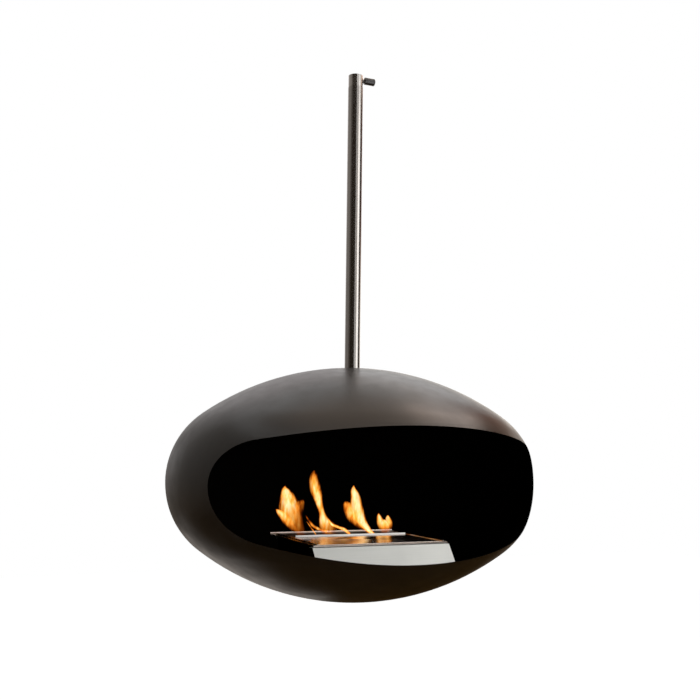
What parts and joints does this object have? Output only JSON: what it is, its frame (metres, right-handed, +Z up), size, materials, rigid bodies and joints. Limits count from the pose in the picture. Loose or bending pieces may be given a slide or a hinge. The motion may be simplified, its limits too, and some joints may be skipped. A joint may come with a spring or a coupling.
{
  "type": "hanging fireplace",
  "caption": "Oval steel fireplace shell with a wide mouth, hung on a tube from a locking swivel, with a lift-out ethanol burner under a sliding lid.",
  "frame": {"origin": "centre of the ceiling spigot's top face, at the mouth of its threaded hole, where the fireplace hangs", "axes": "+Z up along the pole's axis, the mouth faces -Y, the lock's knob points along +X"},
  "size_m": [0.9, 0.851, 1.32],
  "materials": {
    "shell_black": "satin brown-black heat-proof paint",
    "satin_steel": "satin",
    "polished_steel": "polished",
    "brushed_plate": "brushed, bright",
    "sheet_steel": "mill, heat-tinted",
    "turned_steel": "turned",
    "dark_steel": "matt black primer",
    "casing_black": "matt black",
    "dark_knob": "blackened, satin",
    "bronze": "turned bronze",
    "black_rubber": "matt",
    "ceramic_fibre": "pressed ceramic fibre"
  },
  "bodies": {
    "spigot": {"ceiling_spigot": "turned_steel", "thrust_washer": "bronze"},
    "hanger": {"swivel_head": "satin_steel", "pole_tube": "satin_steel", "pole_foot_plug": "dark_steel", "tie_stud": "dark_steel", "upper_shell": "shell_black", "lower_shell": "shell_black", "crown_disc": "dark_steel", "foot_washer": "turned_steel", "foot_nut": "turned_steel", "foot_lock_nut": "turned_steel", "front_saddle": "dark_steel", "rear_saddle": "dark_steel", "cradle_bars": "dark_steel", "cradle_bolts": "turned_steel", "cradle_nuts": "turned_steel", "rubber_pads": "black_rubber"},
    "pad": {"lock_pad": "bronze"},
    "knob": {"lock_screw": "turned_steel", "lock_knob": "dark_knob"},
    "burner": {"burner_casing": "casing_black", "fuel_reservoir": "sheet_steel", "absorbent_block": "ceramic_fibre", "retaining_grid": "sheet_steel", "top_plate": "polished_steel", "lid_guides": "polished_steel", "plate_screws": "turned_steel", "plate_nuts": "turned_steel", "front_fascia": "brushed_plate", "fascia_screws": "turned_steel", "fascia_nuts": "turned_steel"},
    "lid": {"sliding_lid": "polished_steel"}
  },
  "joints": [
    {"name": "swivel", "type": "hinge", "parent": "spigot", "child": "hanger", "pos_m": [0, 0, 0], "axis": [0, 0, 1], "continuous": true},
    {"name": "lock_travel", "type": "slide", "parent": "hanger", "child": "pad", "axis": [1, 0, 0], "range_m": [0, 0.002]},
    {"name": "lock_turn", "type": "hinge", "parent": "pad", "child": "knob", "pos_m": [0, 0, -0.0092], "axis": [1, 0, 0], "range_deg": [0, 720]},
    {"name": "burner_lift", "type": "slide", "parent": "hanger", "child": "burner", "axis": [0, 0, 1], "range_m": [0, 0.06]},
    {"name": "lid_slide", "type": "slide", "parent": "burner", "child": "lid", "axis": [0, 1, 0], "range_m": [0, 0.108]}
  ],
  "couplings": [
    {"joint": "lock_turn", "follows": "lock_travel", "rad_per_m": 6283.2}
  ]
}
